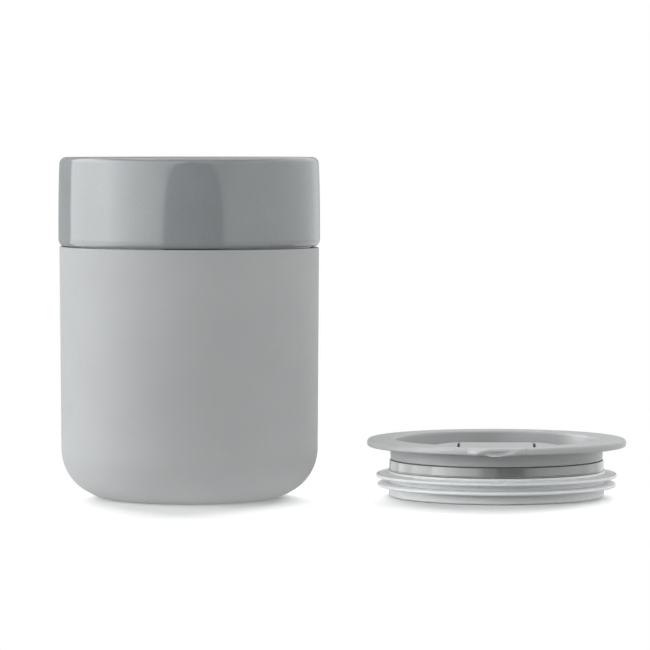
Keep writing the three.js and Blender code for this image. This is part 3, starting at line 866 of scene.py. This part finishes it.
def silicone(name, level, roughness):
    """Matte moulded silicone: a very fine grain, faint mottling and a soft bloom."""
    nodes = Finish(name)
    mottle = nodes.mottle(nodes.noise(scale=60.0, detail=4.0), grey(level * 0.98), grey(level * 1.02))
    grain = nodes.mottle(nodes.noise(scale=5200.0, roughness=0.6), neutral(0.97), neutral(1.03))
    vary = 0.04
    rough = nodes.spread(nodes.noise(scale=400.0), low=roughness - vary, high=roughness + vary)
    pores = nodes.bump(nodes.noise(scale=6000.0), distance=0.00003, strength=0.3)
    colour = nodes.multiply(mottle, grain)
    return nodes.finished(colour, rough, pores, IOR=1.41, Sheen_Weight=0.03, Sheen_Roughness=0.4)


def satin_plastic(name, level=0.308):
    """Satin moulded plastic with a fine spark-eroded texture."""
    nodes = Finish(name)
    flow = nodes.mottle(nodes.noise(scale=45.0, detail=3.0), grey(level * 0.985), grey(level * 1.015))
    roughness = nodes.spread(nodes.noise(scale=700.0), low=0.36, high=0.44)
    texture = nodes.bump(nodes.noise(scale=3800.0), distance=0.00003, strength=0.3)
    return nodes.finished(flow, roughness, texture, IOR=1.49)


def gloss_plastic():
    """Polished plastic with faint flow marks."""
    nodes = Finish("gloss_plastic")
    flow = nodes.mottle(nodes.noise(scale=40.0, detail=3.0), grey(0.136), grey(0.146))
    roughness = nodes.spread(nodes.noise(scale=300.0), low=0.1, high=0.15)
    waves = nodes.bump(nodes.noise(scale=160.0, detail=1.0), distance=0.0002, strength=0.04)
    return nodes.finished(flow, roughness, waves, IOR=1.5)


def clear_silicone():
    """Milky silicone that scatters light, paler on the fins' faces than on the wall and the tips. The
    darker wall is partly the grey plug showing through the thin silicone and partly painted shade under
    the collar; the darker tips are painted shade that tones down their lit edges.
    """
    nodes = Finish("milky_silicone")
    radius = nodes.length(nodes.place, scale=(1.0, 1.0, 0.0), shift=(-LID_X * MM, -LID_Y * MM, 0.0))
    just_outside = 0.1
    wall = (PLUG_RADIUS + just_outside) * MM
    outward = nodes.spread(radius, 0.0, 1.0, from_low=wall, from_high=UPPER_FIN_RADIUS * MM)
    # Painted shade by radius: the wall is darker where the collar's foot shades it, and the fin tips are
    # darker to tone down their lit edges, while the fins' faces stay pale
    stops = [(0.0, 0.53), (0.1, 0.74), (0.68, 0.82), (0.85, 0.52), (1.0, 0.5)]
    tone_and_painted_shade = nodes.ramp(outward, [(position, grey(level)) for position, level in stops])
    cloud = nodes.mottle(nodes.noise(scale=120.0, detail=3.0), neutral(0.97), neutral(1.0))
    roughness = nodes.spread(nodes.noise(scale=600.0), low=0.5, high=0.58)
    skin = nodes.bump(nodes.noise(scale=900.0, detail=1.0), distance=0.00002, strength=0.1)
    scatter = {
        "Subsurface_Weight": 0.25,
        "Subsurface_Scale": 0.002,
        "Subsurface_Radius": (1.0, 1.0, 1.0),
    }
    return nodes.finished(nodes.multiply(tone_and_painted_shade, cloud), roughness, skin, IOR=1.41, **scatter)


# Stage, in metres

# The camera: its lens and sensor in millimetres, where it stands, and its tilt and bearing in degrees
LENS = 214.6
SENSOR = 36.0
CAMERA_PLACE = (0.10093, -1.27189, 0.1165)
CAMERA_TILT = 2.686
VIEW_BEARING = 2.5325
FAR_CLIP = 20.0

# Brightness of the studio's panels by bearing in degrees from the camera's, with the left below nought
PANELS = [
    (-180, 0.45), (-127, 0.44), (-125, 2.7), (-98, 4.35), (-75, 6.1),
    (-60, 4.75), (-44, 3.5), (-18, 2.2), (33, 1.2), (46, 1.65),
    (95, 1.85), (125, 1.6), (153, 1.3), (170, 0.6), (180, 0.45),
]
BRIGHTEST = 7.0
# In reflections, bearings are drawn towards the front by this share, growing between these heights
PANEL_LEAN = 0.15
LEAN_START = 0.15
LEAN_END = 0.5
# The dark gap between the panels: its middle bearing from the camera's, the little light in it, how
# soft its edge is, and half its width in degrees by the height of a direction
GAP_BEARING = 5.6
GAP_LIGHT = 0.02
GAP_EDGE = math.radians(1.2)
GAP_WIDTHS = [(-0.1, 27.5), (-0.026, 27.0), (0.06, 22.5), (0.09, 16.0), (0.4, 9.0), (0.8, 0.0)]
# Heights of a direction between which the panels fade out, as light and in reflections. The ceiling
# comes in over the first pair
PANEL_TOP = (0.5, 0.7)
MIRRORED_TOP = (0.6, 0.85)
CEILING_LIGHT = 0.3
STUDIO_COLOUR = (0.985, 1.0, 1.0, 1.0)
WHITE = (1.0, 1.0, 1.0, 1.0)

# The table, and the oval round the object within which it keeps the shadows. They fade between two
# multiples of the oval's reach
TABLE_RADIUS = 1.5
SHADOW_MIDDLE = Vector((0.05, -0.05, 0.0))
SHADOW_REACH = Vector((0.13, 0.075, 1.0))
SHADOW_FADE = (0.8, 1.4)
SHADOW_COLOUR = 0.75
SHADOW_GLOW = 0.04
# What the table's surface gives back to the object: a value near the cup, one away from it, and the
# distances between which it changes
BOUNCE_COLOUR = (0.45, 0.3, 0.05, 0.11)
BOUNCE_GLOW = (1.0, 0.0, 0.035, 0.085)
MIRRORED_PANELS = (0.0, 0.7, 0.08, 0.15)
MIRRORED_COLOUR = 0.05


def camera():
    """The photograph's camera: a long lens, almost level, looking slightly down."""
    lens = bpy.data.cameras.new("camera")
    lens.lens = LENS
    lens.sensor_width = SENSOR
    lens.clip_end = FAR_CLIP
    eye = bpy.data.objects.new("camera", lens)
    eye.location = CAMERA_PLACE
    eye.rotation_euler = (math.radians(90 - CAMERA_TILT), 0.0, math.radians(VIEW_BEARING))
    bpy.context.scene.collection.objects.link(eye)
    bpy.context.scene.camera = eye


def panel_gap(nodes, bearing, height):
    """Almost dark between the panels and full brightness beyond. The gap narrows upwards."""
    middle = math.radians(GAP_BEARING + VIEW_BEARING)
    offset = nodes.maths("ABSOLUTE", nodes.maths("SUBTRACT", bearing, middle))
    lowest = GAP_WIDTHS[0][0]
    raised = nodes.maths("SUBTRACT", height, lowest)
    stops = [(level - lowest, neutral(math.radians(degrees))) for level, degrees in GAP_WIDTHS]
    beyond = nodes.maths("SUBTRACT", offset, nodes.ramp(raised, stops))
    return nodes.spread(beyond, GAP_LIGHT, BRIGHTEST, -GAP_EDGE, GAP_EDGE, smooth=True)


def panel_light(nodes, direction):
    """The panels' brightness for a direction, or for a place on the table round the cup."""
    parts = nodes.add("ShaderNodeSeparateXYZ")
    nodes.link(direction, parts.inputs["Vector"])
    forward = nodes.maths("MULTIPLY", parts.outputs["Y"], -1.0)
    bearing = nodes.maths("ARCTAN2", parts.outputs["X"], forward)
    height = parts.outputs["Z"]
    glossy = nodes.add("ShaderNodeLightPath").outputs["Is Glossy Ray"]
    lean = nodes.maths("MULTIPLY", nodes.spread(height, 0.0, PANEL_LEAN, LEAN_START, LEAN_END), glossy)
    leaning = nodes.maths("MULTIPLY", bearing, nodes.maths("SUBTRACT", 1.0, lean))
    share = nodes.spread(leaning, 0.0, 1.0, -math.pi, math.pi)
    stops = []
    for degrees, level in PANELS:
        position = max(0.0, min(1.0, (degrees + VIEW_BEARING + 180) / 360))
        stops.append((position, neutral(level / BRIGHTEST)))
    return nodes.maths("MULTIPLY", nodes.ramp(share, stops), panel_gap(nodes, bearing, height))


def studio_world():
    """Soft panels to the left and right of the cup, a dark gap in front, and white for the camera."""
    world = bpy.data.worlds.new("studio")
    nodes = Nodes(world)
    nodes.tree.nodes.clear()
    around = nodes.add("ShaderNodeTexCoord").outputs["Generated"]
    parts = nodes.add("ShaderNodeSeparateXYZ")
    nodes.link(around, parts.inputs["Vector"])
    height = parts.outputs["Z"]
    path = nodes.add("ShaderNodeLightPath").outputs

    lit = nodes.spread(height, 1.0, 0.0, *PANEL_TOP, smooth=True)
    mirrored = nodes.spread(height, 1.0, 0.0, *MIRRORED_TOP, smooth=True)
    shown = nodes.maths("MAXIMUM", lit, nodes.maths("MULTIPLY", mirrored, path["Is Glossy Ray"]))
    ceiling = nodes.spread(height, 0.0, CEILING_LIGHT, *PANEL_TOP, smooth=True)
    panels = nodes.maths("MULTIPLY", panel_light(nodes, around), shown)

    studio = nodes.add("ShaderNodeBackground")
    nodes.feed(studio.inputs["Color"], STUDIO_COLOUR)
    nodes.feed(studio.inputs["Strength"], nodes.maths("ADD", panels, ceiling))
    white = nodes.add("ShaderNodeBackground")
    nodes.feed(white.inputs["Color"], WHITE)
    mix = nodes.add("ShaderNodeMixShader")
    seen = nodes.maths("MAXIMUM", path["Is Camera Ray"], path["Is Transmission Ray"])
    for socket, value in zip(mix.inputs, (seen, studio.outputs[0], white.outputs[0])):
        nodes.feed(socket, value)
    nodes.link(mix.outputs["Shader"], nodes.add("ShaderNodeOutputWorld").inputs["Surface"])
    bpy.context.scene.world = world


def table_white():
    """White beyond the shadows for the camera, and grey for the light that the table gives back."""
    material = bpy.data.materials.new("table_white")
    nodes = Nodes(material)
    nodes.tree.nodes.clear()
    place = nodes.add("ShaderNodeTexCoord").outputs["Object"]
    path = nodes.add("ShaderNodeLightPath").outputs
    from_cup = nodes.length(place)
    scale = [1 / reach for reach in SHADOW_REACH]
    shift = [-middle / reach for middle, reach in zip(SHADOW_MIDDLE, SHADOW_REACH)]
    from_shadows = nodes.length(place, scale, shift)

    bounce = nodes.spread(from_cup, *BOUNCE_COLOUR, smooth=True)
    glossy = path["Is Glossy Ray"]
    given_back = nodes.spread(glossy, bounce, MIRRORED_COLOUR, from_low=0.0, from_high=1.0)
    shaded = nodes.spread(from_shadows, SHADOW_COLOUR, 0.0, *SHADOW_FADE, smooth=True)
    colour = nodes.add("ShaderNodeMix")
    for name, value in {"Factor": path["Is Camera Ray"], "A": given_back, "B": shaded}.items():
        nodes.link(value, colour.inputs[name])
    surface = nodes.add("ShaderNodeBsdfDiffuse")
    nodes.link(colour.outputs["Result"], surface.inputs["Color"])

    seen = nodes.maths("MAXIMUM", path["Is Camera Ray"], path["Is Transmission Ray"])
    beyond = nodes.spread(from_shadows, SHADOW_GLOW, 1.0, *SHADOW_FADE, smooth=True)
    white = nodes.maths("MULTIPLY", beyond, seen)
    under = nodes.spread(from_cup, *BOUNCE_GLOW, smooth=True)
    strength = nodes.maths("MULTIPLY_ADD", under, path["Is Diffuse Ray"], white)
    mirrored = nodes.maths("MULTIPLY", panel_light(nodes, place), glossy)
    away = nodes.spread(from_cup, *MIRRORED_PANELS, smooth=True)
    glow = nodes.add("ShaderNodeEmission")
    nodes.link(nodes.maths("MULTIPLY_ADD", mirrored, away, strength), glow.inputs["Strength"])

    both = nodes.add("ShaderNodeAddShader")
    nodes.link(surface.outputs["BSDF"], both.inputs[0])
    nodes.link(glow.outputs["Emission"], both.inputs[1])
    nodes.link(both.outputs["Shader"], nodes.add("ShaderNodeOutputMaterial").inputs["Surface"])
    return material


def floor():
    """A pale table that keeps the contact shadow."""
    made = bmesh.new()
    bmesh.ops.create_circle(made, cap_ends=True, segments=96, radius=TABLE_RADIUS)
    table = object_from("table", made)
    table.data.materials.append(table_white())
    return table


def gathered(name, pieces):
    """A collection of pieces that a lamp is meant for, or that cast its shadow."""
    group = bpy.data.collections.new(name)
    for piece in pieces:
        group.objects.link(piece)
    return group


def softbox(name, place, aim, size, brightness, lights, blockers=None, diffuse=True):
    """A soft rectangular lamp for some pieces. Its brightness is what its face would render as."""
    width, height = size
    lamp = bpy.data.lights.new(name, "AREA")
    lamp.shape = "RECTANGLE"
    lamp.size = width
    lamp.size_y = height
    lamp.energy = brightness * math.pi * width * height
    box = bpy.data.objects.new(name, lamp)
    box.location = place
    box.rotation_euler = (Vector(aim) - Vector(place)).to_track_quat("-Z", "Y").to_euler()
    box.visible_camera = False
    box.visible_diffuse = diffuse
    box.light_linking.receiver_collection = gathered(name + "_lights", lights)
    if blockers:
        box.light_linking.blocker_collection = gathered(name + "_blockers", blockers)
    bpy.context.scene.collection.objects.link(box)


def lid_lamps(lid, gasket):
    """Lamps for the lid. The key light leaves out the gasket, which has lamps of its own."""
    others = [piece for piece in lid if piece != gasket]
    softbox("lid_key", place=(-0.9, 0.2, 0.35), aim=(0.1, 0.2, 0.35), size=(1.05, 0.7),
            brightness=4.0, lights=others, blockers=lid)
    softbox("lid_front", place=(0.06, -0.6, 0.95), aim=(0.1, 0.0, 0.02), size=(0.5, 0.4),
            brightness=1.1, lights=lid, blockers=lid)
    softbox("lid_top", place=(0.1, 0.5, 0.9), aim=(0.1, 0.0, 0.02), size=(0.6, 0.5),
            brightness=1.5, lights=lid, blockers=lid)


def gasket_lamps(lid, gasket):
    """Low lamps round the gasket, which the lid's flange shades, and two high ones at its sides."""
    softbox("gasket_front", place=(0.1, -0.7, 0.12), aim=(0.1, 0.0, 0.0), size=(1.6, 0.4),
            brightness=0.45, lights=[gasket], blockers=lid)
    for name, x, brightness in (("gasket_left", -0.9, 10.0), ("gasket_right", 1.1, 5.0)):
        softbox(name, place=(x, 0.0, 0.02), aim=(0.1, 0.0, 0.005), size=(1.2, 0.12),
                brightness=brightness, lights=[gasket], blockers=lid)
    for x, brightness in ((-0.5, 2.4), (0.7, 1.5)):
        softbox("gasket_top", place=(x, 0.1, 0.5), aim=(0.1, 0.0, 0.0), size=(0.5, 0.5),
                brightness=brightness, lights=[gasket], blockers=lid)


def collar_cards(plug):
    """Cards close to the lid that only the collar mirrors: a row at each side and one in front."""
    height = 0.03
    level = 0.008
    side_width = 0.02
    side_back = 0.042
    side_rows = {
        0.0465: (1.0, 1.6, 4.2, 7.0, 4.3, 3.5, 2.75, 2.6, 2.35, 1.9),
        0.1557: (0.5, 0.65, 1.4, 2.0, 1.85, 1.4, 1.0, 0.55),
    }
    for x, row in side_rows.items():
        for i, brightness in enumerate(row):
            y = side_back - side_width * i
            softbox("collar", place=(x, y, level), aim=(LID_X * MM, y, level),
                    size=(side_width, height), brightness=brightness, lights=[plug], diffuse=False)
    front_width = 0.0105
    front_left = 0.075
    front_y = -0.084
    for i, brightness in enumerate((1.3, 1.2, 1.05)):
        x = front_left + front_width * i
        softbox("collar", place=(x, front_y, level), aim=(x, 0.0, level),
                size=(front_width, height), brightness=brightness, lights=[plug], diffuse=False)


def lamps(cup, sleeve, lid, table):
    """All lamps, each for the pieces that it is meant for."""
    cover, plug, gasket, flap = lid[:4]
    softbox("top", place=(0.05, 0.3, 1.2), aim=(0.05, 0.0, 0.05), size=(1.2, 0.9),
            brightness=2.0, lights=[cup, sleeve] + lid)
    lid_lamps(lid, gasket)
    gasket_lamps(lid, gasket)
    softbox("lid_low", place=(-0.7, -0.05, -0.01), aim=(0.08, -0.02, 0.012), size=(0.6, 0.06),
            brightness=14.0, lights=[cover, flap], blockers=lid)
    collar_cards(plug)
    softbox("sleeve_right", place=(1.0, -0.25, 0.55), aim=(0.0, 0.0, 0.05), size=(0.6, 0.6),
            brightness=2.3, lights=[sleeve])
    softbox("table_back", place=(-0.12, 4.5, 2.0), aim=(0.05, 0.0, 0.0), size=(7.8, 2.2),
            brightness=24.0, lights=[table])
    softbox("table_high", place=(0.05, 1.2, 2.0), aim=(0.05, 0.0, 0.0), size=(3.0, 1.0),
            brightness=2.5, lights=[table])


# Assembly


def dress(piece, material, node, body):
    """Gives a piece its material and its place in the assembly."""
    piece.data.materials.clear()
    piece.data.materials.append(material)
    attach(piece, body)
    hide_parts(node)
    return piece


camera()
bpy.context.scene.view_settings.view_transform = "Standard"

cup = dress(ceramic_cup(), glaze(), "ceramic_cup", "cup")
sleeve_finish = silicone("sleeve_silicone", level=0.29, roughness=0.62)
sleeve = dress(silicone_sleeve(), sleeve_finish, "silicone_sleeve", "sleeve")
cover = dress(lid_cover(), satin_plastic("cover_plastic"), "lid_cover", "lid")
plug = dress(lid_plug(), gloss_plastic(), "lid_plug", "lid")
gasket = dress(lid_gasket(), clear_silicone(), "lid_gasket", "lid")
flap = dress(sip_flap(), satin_plastic("flap_plastic"), "sip_flap", "flap")
seal_finish = silicone("seal_silicone", level=0.6, roughness=0.5)
seal = dress(flap_seal(), seal_finish, "flap_seal", "flap")

table = floor()
studio_world()
lamps(cup, sleeve, [cover, plug, gasket, flap, seal], table)
